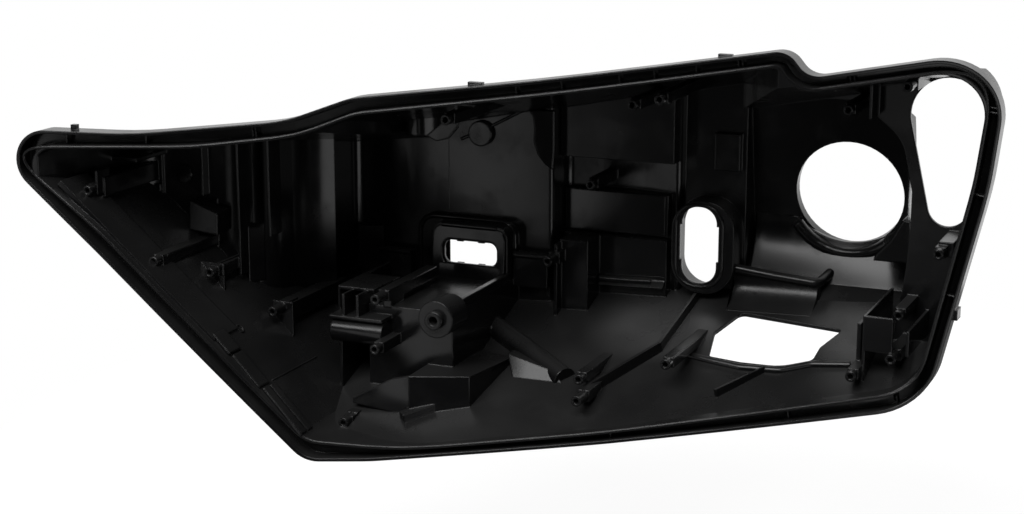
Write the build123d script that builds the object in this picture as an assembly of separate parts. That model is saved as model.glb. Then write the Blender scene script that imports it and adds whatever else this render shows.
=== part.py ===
from build123d import *
import os
from math import sqrt

# Back housing of a car headlamp, injection moulded in one piece of black plastic.
# Millimetres. X runs along the lamp, Z is up, and Y is the direction in which the mould opens:
# the open front faces -Y. The origin is midway between the two rear fixing posts, in the plane
# of their mouths.

# ---------------------------------------------------------------- driving dimensions
WALL = 2.5  # thickness of the shell
RIB = 1.8  # thickness of inner ribs and plates
LAND = 2.2  # thickness of the two walls of the sealing channel
CHANNEL_DEPTH = 12.0  # from the front edge down to the channel's floor
RIM_DEPTH = 14.5  # height of the channel's outer wall

FRONT_Y = -240.0  # front edge of the rim at x = 0
SWEEP_SLOPE = 0.30  # the front edge runs back towards +X at this slope at x = 0
SWEEP_RADIUS = 2600.0  # and is bowed in plan with this radius

# outlines in the XZ plane, seen from the front: (x, z, corner radius)
RIM_OUTER = [
    (-362.5, 73.5, 21), (-274.5, -10.3, 300), (-137.4, -147.4, 22), (-92.9, -144.7, 150),
    (55.9, -126.1, 600), (254.5, -97.7, 42), (286, 48.2, 250), (295.2, 138.1, 38),
    (176.8, 119.1, 14), (164, 136.6, 14), (17.1, 115.8, 2500), (-101.7, 102, 40),
    (-145.5, 85.4, 100), (-249.2, 73.5, 300),
]
MOUTH = [
    (-337.3, 59.8, 12), (-273.6, 7, 300), (-135.7, -131.9, 22), (-72.9, -134.1, 300),
    (55.8, -117.1, 900), (247.3, -85.2, 32), (275.7, 51.4, 250), (284.3, 126.8, 27),
    (169.5, 108.9, 22), (158.5, 125.9, 6), (29.4, 106.8, 2500), (-98.7, 90.7, 40),
    (-137.9, 74.8, 120), (-208.3, 65, 300),
]

# the back wall in plan, from the left tip to the right end: (x, y, corner radius)
LEFT_BACK = -200.0
CENTRE_BACK = -75.0
CURVED_BACK = -50.0
FLANGE_BACK = -90.0
PLAN = [
    (-345, -460, 0), (-316, -316, 30), (-292, -214, 18), (-212, LEFT_BACK, 34),
    (-199, CENTRE_BACK, 8), (-39, CENTRE_BACK, 3), (-37, CURVED_BACK, 6), (6, -44, 120),
    (50, CURVED_BACK, 4), (52, -43, 0), (106, -43, 0), (108, FLANGE_BACK, 3),
    (292, FLANGE_BACK, 4), (300, -460, 0),
]

# the floor rises towards the back; the roof falls towards it
FLOOR_Z = -47.9  # where the floor's plane meets x = 0, y = 0
FLOOR_SLOPE_X = 0.034
FLOOR_SLOPE_Y = 0.33
ROOF_SLOPE = 0.18
ROOF_STEPS = (-131, 161)  # the middle roof, between these, is the tallest
ROOF_STEP_Y = -190.0  # behind this the right step runs in towards the middle
ROOF_STEP_SLANT = 0.45
ROOFS = [  # (x, z of the roof at the rim there, rise per millimetre of x)
    (-360, 62.0, 0.055),
    (-131, 88.5, 0.150),
    (161, 113.0, 0.135),
]

# deep pocket behind the service port
POCKET = [  # (x, z, corner radius)
    (98, -120, 4), (98, 150, 4), (194, 150, 3), (197, 86, 6), (219, 68, 30),
    (228, 28, 40), (225, -20, 16), (212, -120, 4),
]
POCKET_PROFILE = [  # (y, z)
    (-140, 170), (-42, 104), (-36, 84), (-17.6, -31), (-58, -66), (-58, -140), (-140, -140),
]
POCKET_PLAN = [(60, -160), (60, 60), (209, 60), (209, -19), (228, -95), (228, -160)]  # (x, y)

PORT_X, PORT_Y, PORT_Z = 169.0, -27.0, 14.5
PORT_R = 39.0
PORT_TILT = 9.1  # the port's wall leans forward at the top, like the pocket's profile

FIXING_X, FIXING_Z = 110.0, -45.0  # one rear fixing post here, the other opposite the origin
FIXING_R = 3.3
FIXING_DEPTH = 18.0


# ---------------------------------------------------------------- form helpers
def front_y(x, back=0.0):
    """Y of the rim's swept front edge at x, moved back by so much."""
    slope_length = sqrt(1 + SWEEP_SLOPE**2)
    centre_x = -SWEEP_SLOPE / slope_length * SWEEP_RADIUS
    centre_y = FRONT_Y + SWEEP_RADIUS / slope_length
    return centre_y - sqrt(SWEEP_RADIUS**2 - (x - centre_x) ** 2) + back


def behind_front(back=0.0):
    """Everything behind the swept front surface, moved back by so much."""
    slope_length = sqrt(1 + SWEEP_SLOPE**2)
    centre_x = -SWEEP_SLOPE / slope_length * SWEEP_RADIUS
    centre_y = FRONT_Y + SWEEP_RADIUS / slope_length + back
    return Pos(centre_x, centre_y, 0) * Cylinder(SWEEP_RADIUS, 500)


def outline(corners):
    """A face with rounded corners, from (x, y, radius)."""
    points = [(x, y) for x, y, _ in corners]
    return make_face(FilletPolyline(*points, radius=[r for *_, r in corners], close=True))


def grown(face, amount):
    return offset(face, amount, kind=Kind.INTERSECTION)


def along_y(face, y0, y1):
    """A face drawn in X and Z, extruded from y0 to y1."""
    return Pos(0, y1, 0) * Rot(90, 0, 0) * extrude(face, y1 - y0)


def along_x(face, x0, x1):
    """A face drawn in Y and Z, extruded from x0 to x1."""
    return Pos(x0, 0, 0) * (Plane.YZ * extrude(face, x1 - x0))


def block(x0, x1, y0, y1, z0, z1):
    return Pos((x0 + x1) / 2, (y0 + y1) / 2, (z0 + z1) / 2) * Box(x1 - x0, y1 - y0, z1 - z0)


def rod(x, z, y0, y1, radius):
    """A cylinder along Y."""
    return Pos(x, (y0 + y1) / 2, z) * Rot(90, 0, 0) * Cylinder(radius, y1 - y0)


def bar(a, b, width, height):
    """A straight rib, its top along the line from a to b."""
    a, b = Vector(*a), Vector(*b)
    side = (b - a).cross(Vector(0, 0, 1))
    line = Plane(origin=(a + b) / 2, x_dir=b - a, z_dir=side.cross(b - a))
    return line * Pos(0, 0, -height / 2) * Box((b - a).length, width, height)


def round_bar(a, b, radius):
    """A cylinder from a to b."""
    a, b = Vector(*a), Vector(*b)
    return Plane(origin=(a + b) / 2, z_dir=b - a) * Cylinder(radius, (b - a).length)


def floor_block(lower=0.0):
    """Everything under the sloping floor, lowered square to it."""
    plane = Plane(
        origin=(0, 0, FLOOR_Z),
        x_dir=(1, 0, FLOOR_SLOPE_X),
        z_dir=(-FLOOR_SLOPE_X, -FLOOR_SLOPE_Y, 1),
    )
    return plane * Pos(0, 0, -200 - lower) * Box(1400, 1400, 400)


def roof_blocks(raised=0.0):
    """Everything over the roofs, which fall towards the back, raised square to them."""
    left, right = ROOF_STEPS[0] - raised, ROOF_STEPS[1] + raised
    inner = right - ROOF_STEP_SLANT * (100 - ROOF_STEP_Y)
    plans = [
        [(-360, -500), (left, -500), (left, 100), (-360, 100)],
        [(left, -500), (right, -500), (right, ROOF_STEP_Y), (inner, 100), (left, 100)],
        [(right, -500), (330, -500), (330, 100), (inner, 100), (right, ROOF_STEP_Y)],
    ]
    blocks = []
    for (x, z, rise), plan in zip(ROOFS, plans):
        plane = Plane(
            origin=(x, front_y(x), z),
            x_dir=(1, SWEEP_SLOPE, rise),
            z_dir=(-rise - SWEEP_SLOPE * ROOF_SLOPE, ROOF_SLOPE, 1),
        )
        above = plane * Pos(0, 0, 100 + raised) * Box(1400, 1400, 200)
        ground = make_face(Polyline(*plan, close=True))
        blocks.append(above & extrude(Pos(0, 0, -200) * ground, 500))
    return blocks


# ---------------------------------------------------------------- shell
def cavity_at(grow):
    """The hollow of the lamp, or with grow the shell's outer form around it."""
    mouth = outline(MOUTH)
    plan = outline(PLAN)
    pocket = outline(POCKET)
    profile = make_face(Polyline(*POCKET_PROFILE, close=True))
    taper = make_face(Polyline(*POCKET_PLAN, close=True))
    if grow:
        mouth, plan, pocket, profile = (grown(f, grow) for f in (mouth, plan, pocket, profile))
        taper = grown(taper, grow)
    hollow = along_y(mouth, -420, 10) & extrude(Pos(0, 0, -200) * plan, 400)
    deep = along_y(pocket, -150, 40) & along_x(profile, 60, 260)
    deep &= extrude(Pos(0, 0, -200) * taper, 400)
    return (hollow + deep) - floor_block(grow) - roof_blocks(grow)


def rim_band():
    """The rim's full section before its channel is cut: from the front edge back to RIM_DEPTH."""
    band = along_y(outline(RIM_OUTER), -420, 0)
    return (band & behind_front()) - behind_front(RIM_DEPTH)


def channel():
    """The sealing channel that the lens is glued into."""
    ring = offset(outline(RIM_OUTER), -LAND, kind=Kind.ARC) - grown(outline(MOUTH), LAND)
    return along_y(ring, -420, 0) - behind_front(CHANNEL_DEPTH)


# ---------------------------------------------------------------- screw bosses
BOSS_R = 3.6
BOSS_HOLE_R = 1.8
BOSS_HOLE_DEPTH = 13.0
BOSS_TUBE = 15.0  # length of the round part, in front of its square post
POST = 4.0  # half width of a square post
MODULE_MOUTH = -211.0  # the bosses that carry the lamp module share this mouth plane
TRIM_MOUTH = -144.0  # and those for the trim ring at the right end share this one

SCREW_BOSSES = {  # name: (x, z, y of the mouth, y where its post ends)
    "left_floor": (-192.6, -62.6, -220, -190),
    "corner": (-125.9, -129.1, -242, 0),
    "module_left": (-116, -48, MODULE_MOUTH, -120),
    "module_right": (34, -102.5, MODULE_MOUTH, 0),
    "middle": (-29.7, -35.6, -108, 0),
    "trim_low": (229, -69, TRIM_MOUTH, 0),
    "trim_top": (232, 112, TRIM_MOUTH, 0),
}
PLAIN_POSTS = {  # name: (x, z, y of the end)
    "tip": (-290.9, 30.2, -287),
    "left_low": (-247, -17.4, -277),
    "left_mid": (-225.5, -31.2, -241),
    "shelf_low": (-109.8, -79.5, -218),
    "floor_back": (27.1, -94.2, -183),
    "floor_right": (85, -80, -171),
    "right_low": (206, -79.6, -150),
    "right_mid": (230.7, -41.3, -127),
    "right_high": (255.4, 3, -130),
    "top_mid": (84.8, 102.4, -192),
    "top_left": (-50.2, 85.8, -227),
    "inner_back": (-3.3, 20, -85),
    "inner_top": (53.4, 91.8, -156),
    "pocket_top": (180.9, 85.6, -82),
}
MODULE_BOSS = (-70, -57.5, -210)  # the large boss for the module's pivot
MODULE_BOSS_R = 13.0


def bosses():
    """Screw bosses, each a short tube on a square post that runs back to the shell."""
    forms = []
    for x, z, y, end in SCREW_BOSSES.values():
        forms.append(rod(x, z, y, y + BOSS_TUBE, BOSS_R))
        forms.append(block(x - POST, x + POST, y + BOSS_TUBE - 1, end, z - POST, z + POST))
    for x, z, y in PLAIN_POSTS.values():
        forms.append(block(x - BOSS_R, x + BOSS_R, y, 0, z - BOSS_R, z + BOSS_R))
    x, z, y = MODULE_BOSS
    return forms + [rod(x, z, y, -185, MODULE_BOSS_R)]


def boss_holes():
    depth = BOSS_HOLE_DEPTH
    holes = [rod(x, z, y - 1, y + depth, BOSS_HOLE_R) for x, z, y, _ in SCREW_BOSSES.values()]
    x, z, y = MODULE_BOSS
    return holes + [rod(x, z, y - 6, y + 20, 3.0)]


def boss_webs():
    """Walls and plates that stiffen the posts."""
    return [
        block(-293, -286, -280, -190, 24, 37),
        block(-289, -287.2, -287, -272, 30, 43),
        block(-262, -243, -272, -200, -16, -14),
        block(-262, -243, -206, -204, -40, 12),
        block(-239, -221, -236, -234.5, -60, -27),
        block(-227, -225.2, -236, -188, -70, -27),
        block(-199, -187, -206, -120, -72, -60),
        block(-200, -184, -206, -204.5, -85, -58),
        block(-129, -122, -235, -200, -150, -126),
        block(-119, -113, -192, -172, -58, -50),
        block(-31, -28.5, -92, -60, -90, -26),
        block(-30, -8, -83, -40, -90, -24),
        block(253, 263, -124, -80, -1, 9),
        block(-51, -49, -218, -60, 84, 104),
        block(-62, -38, -215, -60, 92, 94),
    ]


# ---------------------------------------------------------------- steps of the shell
STEPS = [  # (x from, x to, z from, z to, y of the face): the shell comes forward to this face
    (-175, -150, -64, -44, -85),
    (-66, -39, -62, -38, -85),
    (-159, -128, 54, 120, -87),
    (-37, 50, 34, 130, -64),
    (-36, 44, -21, 9.5, -57),
    (-36, 44, -68, -24, -59),
    (75, 94, 29, 56, -48),
    (90, 156, -60, -46, -50),
]
PORT_STEP = [(197, -22), (226, -22), (225, 8), (217, 9), (209, -6), (199, -18)]  # (x, z)


def step_fronts():
    fronts = [block(x0, x1, y, 0, z0, z1) for x0, x1, z0, z1, y in STEPS]
    return fronts + [along_y(make_face(Polyline(*PORT_STEP, close=True)), -66, -20)]


def step_cores():
    """The hollow behind each step, so that its wall is no thicker than the shell's."""
    w = WALL
    return [block(x0 + w, x1 - w, y + w, 60, z0 + w, z1 - w) for x0, x1, z0, z1, y in STEPS]


FRAME_REAR = -72.5


def connector_frame():
    """Stepped frame that stands forward of the back wall round the wide connector."""
    foot = Pos(-106, -42) * RectangleRounded(80, 55, 13)
    plate = Pos(-98, -41) * RectangleRounded(61, 48, 9)
    return along_y(foot, -79, FRAME_REAR) + along_y(plate, -93, FRAME_REAR)


def connector_socket():
    """The socket behind the plate, open to the rear."""
    return along_y(Pos(-98, -41) * RectangleRounded(56, 43, 6.5), -90.5, -60)


def connector_slot():
    """Keyed slot for the wide connector."""
    plan = RectangleRounded(42.5, 17.5, 6)
    for x in (-8.5, 8.5):
        for z in (-8.6, 8.6):
            plan -= Pos(x, z) * Rectangle(5, 1.2)
    return along_y(Pos(-97, -38.5) * plan, -100, -85)


OVAL_X, OVAL_Z = 72.5, -25.0
OVAL_FACE = -64.0


def oval_frame():
    """Raised oval that holds the upright connector."""
    return along_y(Pos(OVAL_X, OVAL_Z) * RectangleRounded(47, 68, 22), OVAL_FACE, -38)


def oval_socket():
    return along_y(Pos(OVAL_X, OVAL_Z) * RectangleRounded(42, 63, 19.5), OVAL_FACE + WALL, 20)


def oval_slot():
    plan = Pos(70, -23.5) * RectangleRounded(26, 56, 12)
    plan += Pos(70, -22) * Rectangle(29, 26)
    return along_y(plan, -75, -50)


# ---------------------------------------------------------------- inner forms
def left_ribs():
    """Upright ribs on the left end's back wall, and the plates low down in front of it."""
    ribs = [block(x, x + RIB, y, -190, z, 80) for x, y, z in [
        (-284, -215, 1), (-251, -214, 15), (-222, -214, -40), (-202, -206, -12),
    ]]
    return ribs + [
        block(-299, -284, -216, -190, 3, 21),
        block(-311, -280, -250, -190, 43, 46),
    ]


def wall_ledges():
    """Ledge inside the rim along the slanting wall, and the thicker field below it."""
    ledge = [(-306, 36), (-202, -69), (-199, -66), (-303, 39)]
    field = [(-171, -100), (-137, -134.5), (-135, -132.5), (-169, -98)]
    made = along_y(make_face(Polyline(*ledge, close=True)), -400, -150) & behind_front(5)
    made -= behind_front(36)
    return [made, along_y(make_face(Polyline(*field, close=True)), -262, -156)]


SHELF = (-131, -66, -191, -70, -57)  # x from, x to, y from, y to, z of the top


def shelf():
    """Hollow shelf that the lamp module stands over, in front of the wide connector."""
    x0, x1, y0, y1, top = SHELF
    return block(x0, x1, y0, y1, -140, top)


def shelf_core():
    x0, x1, y0, y1, top = SHELF
    w = WALL
    return block(x0 + w, x1 - w, y0 + w, y1 - 6, -200, top - w)


FLOOR_BOX = [(-85, -223), (-46, -207), (-38, -151), (-86, -140)]
FLOOR_BOX_TOP = -96.0


def floor_box():
    """Raised box on the floor."""
    plan = make_face(Polyline(*FLOOR_BOX, close=True))
    return extrude(Pos(0, 0, -160) * plan, 160 + FLOOR_BOX_TOP)


def floor_box_core():
    plan = offset(make_face(Polyline(*FLOOR_BOX, close=True)), -WALL, kind=Kind.INTERSECTION)
    return extrude(Pos(0, 0, -180) * plan, 180 + FLOOR_BOX_TOP - WALL)


def floor_forms():
    """Ribs, a round ridge and small wings on the sloping floor."""
    box_wing = [(-129, -121), (-129, -117), (-99, -100), (-84, -96), (-84, -125)]
    return [
        along_y(make_face(Polyline(*box_wing, close=True)), -221, -218.5),
        round_bar((-84, -104, -83), (8, -166, -103), 8.5),
        bar((31, -182, -99), (63, -126, -80), 2.4, 16),
        bar((63, -127, -80), (68, -58, -58), 2.4, 16),
        bar((-88, -229, -121), (-60, -202, -112), 9, 12),
        bar((118, -172, -95), (142, -139, -85), 2, 14),
    ]


def module_forms():
    """Trough, bar and webs round the lamp module's pivot."""
    trough = Pos(-133, -200, -75) * Rot(0, 90, 0) * Cylinder(8.5, 40)
    return [
        trough,
        block(-151, -149, -198, -110, -120, -66),
        block(-154, -113, -207, -180, -66, -63.5),
        block(-156, -127, -190, -150, -49, -46.5),
        block(-145, -143, -205, -150, -65, -48),
        block(-134, -132, -205, -150, -65, -48),
        block(-156, -154, -190, -110, -90, -47),
    ]


def right_forms():
    """Webs at the right end, round the lower aperture and below the flange."""
    return [
        block(209, 211, -140, -60, -100, -42),
        block(209, 229, -140, -138, -66, -42),
        block(240, 242, -150, -80, -64, -47),
        block(203, 206, -130, -60, -90, -50),
        block(200, 202, -110, -80, 84, 110),
    ]


# ---------------------------------------------------------------- openings
def lower_aperture():
    """Opening in the floor under the port, for the lamp's lower module."""
    corners = [
        (105, -71, 6), (182, -83, 3), (172, -106, 3), (171, -121, 5), (151, -131, 30),
        (123, -130, 30), (99, -126, 3), (94, -97, 3),
    ]
    return extrude(Pos(0, 0, -160) * outline(corners), 110)


def teardrop():
    """Opening in the flange, a large arc joined to a small one by straight sides."""
    top, low = Pos(249, 86) * Circle(25.5), Pos(251, 25) * Circle(13.5)
    return along_y(make_hull(top.edges() + low.edges()), -110, -60)


def port_axis(back):
    """The port's place, moved back along its axis by so much."""
    return Pos(PORT_X, PORT_Y, PORT_Z) * Rot(90 + PORT_TILT, 0, 0) * Pos(0, 0, -back)


def port_hole():
    return port_axis(9) * Cylinder(PORT_R, 24)


def port_collar():
    """Short collar round the port on the rear, for the service cap."""
    return port_axis(3) * Cylinder(PORT_R + 5, 14)


# ---------------------------------------------------------------- rim details
def rim_clips():
    """Snap wedges on the outside of the rim, which hold the lens frame while it is glued."""
    return [
        block(-295, -291, -303, -299, 66, 77),
        block(-32, -22, -238, -234, 100, 112.5),
        block(120, 129, -188, -184, 120, 132.5),
        block(264, 271, -143, -132, -38, -31),
    ]


# ---------------------------------------------------------------- rear side
def fixing_posts():
    """The two posts that carry the lamp, each with four webs down to the shell."""
    posts = []
    for side in (1, -1):
        x, z = side * FIXING_X, side * FIXING_Z
        posts.append(rod(x, z, -75, 0, 8))
        posts.append(block(x - 14, x + 14, -75, -8, z - RIB / 2, z + RIB / 2))
        posts.append(block(x - RIB / 2, x + RIB / 2, -75, -8, z - 14, z + 14))
    return posts


def fixing_holes():
    return [
        rod(side * FIXING_X, side * FIXING_Z, -FIXING_DEPTH, 1, FIXING_R) for side in (1, -1)
    ]


# ---------------------------------------------------------------- assembly of the moulding
def build_housing():
    envelope = cavity_at(WALL) & behind_front(1.0)
    middle_of_wall = cavity_at(WALL / 2) & behind_front(3.0)
    hollow = cavity_at(0)
    groove = channel()
    shell = rim_band() + envelope + fixing_posts() + port_collar() + rim_clips()
    shell -= hollow
    shell -= groove
    inner = Part() + bosses() + boss_webs() + step_fronts() + left_ribs() + connector_frame()
    inner = inner + oval_frame() + shelf() + floor_box() + floor_forms() + module_forms()
    inner = (inner + wall_ledges() + right_forms()) & middle_of_wall
    body = shell + inner
    body -= Part() + step_cores() + shelf_core() + floor_box_core() + connector_socket()
    body -= oval_socket()
    body -= Part() + boss_holes() + fixing_holes()
    body -= Part() + connector_slot() + oval_slot() + lower_aperture() + teardrop()
    body -= port_hole()
    return body


lamp_housing = build_housing()
print("solids", len(lamp_housing.solids()), "volume", round(lamp_housing.volume))

os.makedirs("parts", exist_ok=True)
lamp_housing.label = "lamp_housing"
export_step(lamp_housing, "parts/lamp_housing.step")
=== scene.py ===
import math

import bmesh
import bpy
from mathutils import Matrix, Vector


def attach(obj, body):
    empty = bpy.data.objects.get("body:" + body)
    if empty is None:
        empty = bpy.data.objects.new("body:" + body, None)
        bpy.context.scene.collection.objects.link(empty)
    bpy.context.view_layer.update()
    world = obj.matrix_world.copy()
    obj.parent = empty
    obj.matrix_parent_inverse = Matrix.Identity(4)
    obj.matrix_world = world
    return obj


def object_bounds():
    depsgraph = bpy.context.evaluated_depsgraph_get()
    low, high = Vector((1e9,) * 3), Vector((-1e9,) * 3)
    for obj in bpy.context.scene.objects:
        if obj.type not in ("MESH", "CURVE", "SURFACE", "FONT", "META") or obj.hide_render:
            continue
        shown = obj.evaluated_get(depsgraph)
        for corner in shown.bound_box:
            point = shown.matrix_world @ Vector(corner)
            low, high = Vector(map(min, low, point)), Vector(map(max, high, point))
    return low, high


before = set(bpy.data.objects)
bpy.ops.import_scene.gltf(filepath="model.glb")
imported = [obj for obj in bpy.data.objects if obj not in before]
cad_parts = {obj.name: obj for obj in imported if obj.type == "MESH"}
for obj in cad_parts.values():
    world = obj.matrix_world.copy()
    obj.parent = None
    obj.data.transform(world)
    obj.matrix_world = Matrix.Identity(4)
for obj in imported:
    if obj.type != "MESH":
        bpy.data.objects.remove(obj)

bl_info = {
    "name": "Headlamp Housing",
    "version": (1, 0, 0),
    "blender": (4, 5, 0),
    "location": "View3D > Sidebar > Headlamp Housing",
    "description": "Finishes the moulded back housing of a car headlamp and sets up its studio",
    "category": "Object",
}

MM = 0.001
CAD_BOUNDS = [list(corner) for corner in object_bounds()]

# Ends of the plain posts inside the housing, in millimetres (x, y, z): each carries a small boss.
POST_ENDS = [
    (-290.9, -287, 30.2), (-247, -277, -17.4), (-225.5, -241, -31.2), (-109.8, -218, -79.5),
    (27.1, -183, -94.2), (85, -171, -80), (206, -150, -79.6), (230.7, -127, -41.3),
    (255.4, -130, 3), (84.8, -192, 102.4), (-50.2, -227, 85.8), (-3.3, -85, 20),
    (53.4, -156, 91.8), (180.9, -82, 85.6),
]
# the middle of the inner land round the mouth, seen from the front: (x, z, corner radius)
INNER_LAND = [
    (-340.7, 60.9, 13), (-273.6, 5.6, 300), (-136.2, -133, 23), (-72.9, -135.2, 300),
    (55.8, -118.2, 900), (248.2, -86.2, 33), (276.8, 51.4, 250), (285.6, 128.1, 28),
    (170.2, 110.1, 21), (158.9, 127.1, 7), (29.4, 107.9, 2500), (-98.9, 91.8, 40),
    (-137.9, 75.9, 120), (-208.3, 66.1, 300),
]
MODULE_RING = (-70, -210, -57.5)  # mouth of the large boss for the module's pivot
HIGHLIGHT_PATCH = (0.047, -0.091, -0.076)  # the middle of the painted highlight on the floor, in metres
HIGHLIGHT_REACH = 0.058  # from there to where the painted highlight ends
SMOOTH_BELOW = 40  # edges flatter than this many degrees are smooth
BEVEL_ABOVE = 30  # and in prisms the edges sharper than this are rounded
SERVICE_PORT = (169, -31, 14.5)  # the middle of the service port's lip
LIP_RADIUS = 43.6  # from there to the middle of the lip
CHANNEL_MIDDLE = 9.2  # from the rim's front edge back to the middle of the channel's ribs

# The middle of the sealing channel, seen from the front, and the places of its cross ribs.
CHANNEL_TOP = [(-335, 67), (-229, 69.2), (-141.7, 80.1), (-100.2, 96.3), (23, 111.3), (161.2, 131.2)]
CHANNEL_STEP = [(173, 114), (289.7, 132.5)]
CHANNEL_RIGHT = [(250, -92), (281, 50), (288, 125)]
CHANNEL_FLOOR = [(-90, -139.4), (56, -121.6), (250, -92)]
TOP_RIBS = (-298, -242, -169, -167, 0, 28, 63, 84, 109, 134, 136.5)
STEP_RIBS = (200, 202.5)
RIGHT_RIBS = (-23, 43, 96.5, 99.5)
FLOOR_RIBS = (60, 170, 236)

# The bowed side wall in plan, and the strips on the slanting wall: (x, x, thickness, y, y).
SWELL_START = (-209, -165)
SWELL_PARTS = [(80, 52, 28), (52, 42, 13)]
WALL_STRIPS = [
    (-203, -190.4, 2.2, -284, -269), (-189.6, -169, 1.3, -281, -267),
    (-168, -139, 2.0, -279, -271), (-168, -139, 1.4, -269, -262),
]

# The studio's softboxes: name, direction from the housing, distance, (width, height), radiance.
SOFTBOXES = [
    ("softbox_top", (-0.15, -0.75, 0.8), 2.2, (2.0, 1.2), 6.0),
    ("softbox_left", (-0.64, -0.77, -0.20), 1.8, (0.95, 1.3), 0.45),
    ("softbox_left_strip", (-0.47, -0.88, -0.20), 1.8, (0.13, 1.0), 0.55),
    ("softbox_strip", (-0.094, -0.995, -0.16), 1.8, (0.2, 0.4), 0.38),
    ("softbox_right", (0.79, -0.62, -0.2), 1.8, (1.1, 0.8), 1.2),
]


# ---------------------------------------------------------------- settings
class PlasticSettings(bpy.types.PropertyGroup):
    colour: bpy.props.FloatVectorProperty(
        name="Colour", description="Colour of the black plastic", subtype="COLOR",
        size=3, min=0, max=1, default=(0.005, 0.005, 0.0053),
    )
    roughness: bpy.props.FloatProperty(
        name="Roughness", description="Roughness of the plain moulded surface",
        subtype="FACTOR", min=0, max=1, default=0.15,
    )
    edge_radius: bpy.props.FloatProperty(
        name="Edge Radius", description="Radius of the rounding that the light shows along edges",
        subtype="DISTANCE", min=0, default=1.5 * MM,
    )
    # painted sheen: faces that look up are painted this much greyer, in place of the light from above on
    # them
    painted_sheen: bpy.props.FloatProperty(
        name="Film", description="Greyness of the fine dust film on faces that look up",
        subtype="FACTOR", min=0, max=1, default=0.024,
    )
    grain_size: bpy.props.FloatProperty(
        name="Grain Size", description="Size of the fine grain left by the mould",
        subtype="DISTANCE", min=0.0001, default=0.9 * MM,
    )


class BossSettings(bpy.types.PropertyGroup):
    radius: bpy.props.FloatProperty(
        name="Radius", description="Outer radius of the small bosses", subtype="DISTANCE",
        min=0, default=3.6 * MM,
    )
    hole_radius: bpy.props.FloatProperty(
        name="Hole Radius", description="Radius of their pilot holes", subtype="DISTANCE",
        min=0, default=1.8 * MM,
    )
    height: bpy.props.FloatProperty(
        name="Height", description="How far they stand out of their posts", subtype="DISTANCE",
        min=0, default=7.0 * MM,
    )


class StageSettings(bpy.types.PropertyGroup):
    azimuth: bpy.props.FloatProperty(
        name="Azimuth", description="Direction of the camera round the housing",
        subtype="ANGLE", default=math.radians(23.4),
    )
    elevation: bpy.props.FloatProperty(
        name="Elevation", description="Height of the camera above the horizon",
        subtype="ANGLE", default=math.radians(13.5),
    )
    distance: bpy.props.FloatProperty(
        name="Distance", description="From the camera to the middle of the open front",
        subtype="DISTANCE", default=1.3,
    )
    lens: bpy.props.FloatProperty(
        name="Lens", description="Focal length on a 36 mm sensor, in millimetres",
        default=70.3125,
    )
    floor_radius: bpy.props.FloatProperty(
        name="Floor Radius", description="Radius of the round floor", subtype="DISTANCE",
        default=0.62,
    )
    floor_drop: bpy.props.FloatProperty(
        name="Floor Drop", description="How far the floor lies below the housing",
        subtype="DISTANCE", default=0.12,
    )


class DetailSettings(bpy.types.PropertyGroup):
    rib_thickness: bpy.props.FloatProperty(
        name="Channel Rib Thickness", description="Thickness of the cross ribs in the channel",
        subtype="DISTANCE", min=0, default=1.2 * MM,
    )
    rounding: bpy.props.FloatProperty(
        name="Rounding", description="Rounding of the edges of the added forms",
        subtype="DISTANCE", min=0, default=0.5 * MM,
    )


# ---------------------------------------------------------------- node helpers
def new_node(tree, kind, x, y, **values):
    node = tree.nodes.new(kind)
    node.location = (x, y)
    for name, value in values.items():
        setattr(node, name, value)
    return node


def join(tree, *pairs):
    for a, b in pairs:
        tree.links.new(a, b)


def maths(tree, operation, x, y, *inputs):
    """A Math node, its inputs given as sockets or numbers."""
    node = new_node(tree, "ShaderNodeMath", x, y, operation=operation)
    for socket, value in zip(node.inputs, inputs):
        if isinstance(value, bpy.types.NodeSocket):
            tree.links.new(value, socket)
        else:
            socket.default_value = value
    return node.outputs[0]


def add_sockets(group, direction, sockets):
    for name, kind, default in sockets:
        made = group.interface.new_socket(name=name, in_out=direction, socket_type=kind)
        if default is not None:
            made.default_value = default


def shared_group(name, make):
    """The node group of that name, made when it is first asked for."""
    return bpy.data.node_groups.get(name) or make()


# ---------------------------------------------------------------- shader groups
def mould_grain_group():
    """Fine grain of the mould's surface with the broad waves where thick plastic has shrunk."""
    group = bpy.data.node_groups.new("Mould Grain", "ShaderNodeTree")
    add_sockets(group, "INPUT", [
        ("Position", "NodeSocketVector", None),
        ("Grain Size", "NodeSocketFloat", 0.001),
    ])
    add_sockets(group, "OUTPUT", [
        ("Grain", "NodeSocketFloat", None),
        ("Waves", "NodeSocketFloat", None),
    ])
    start = new_node(group, "NodeGroupInput", -700, 0)
    end = new_node(group, "NodeGroupOutput", 500, 0)
    per_metre = maths(group, "DIVIDE", -500, -150, 1.0, start.outputs["Grain Size"])
    fine = new_node(group, "ShaderNodeTexNoise", -250, 100)
    fine.inputs["Detail"].default_value = 3.0
    fine.inputs["Roughness"].default_value = 0.6
    broad = new_node(group, "ShaderNodeTexNoise", -250, -200)
    broad.inputs["Scale"].default_value = 16.0
    broad.inputs["Detail"].default_value = 1.5
    join(
        group,
        (start.outputs["Position"], fine.inputs["Vector"]),
        (per_metre, fine.inputs["Scale"]),
        (start.outputs["Position"], broad.inputs["Vector"]),
        (fine.outputs["Fac"], end.inputs["Grain"]),
        (broad.outputs["Fac"], end.inputs["Waves"]),
    )
    return group


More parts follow.
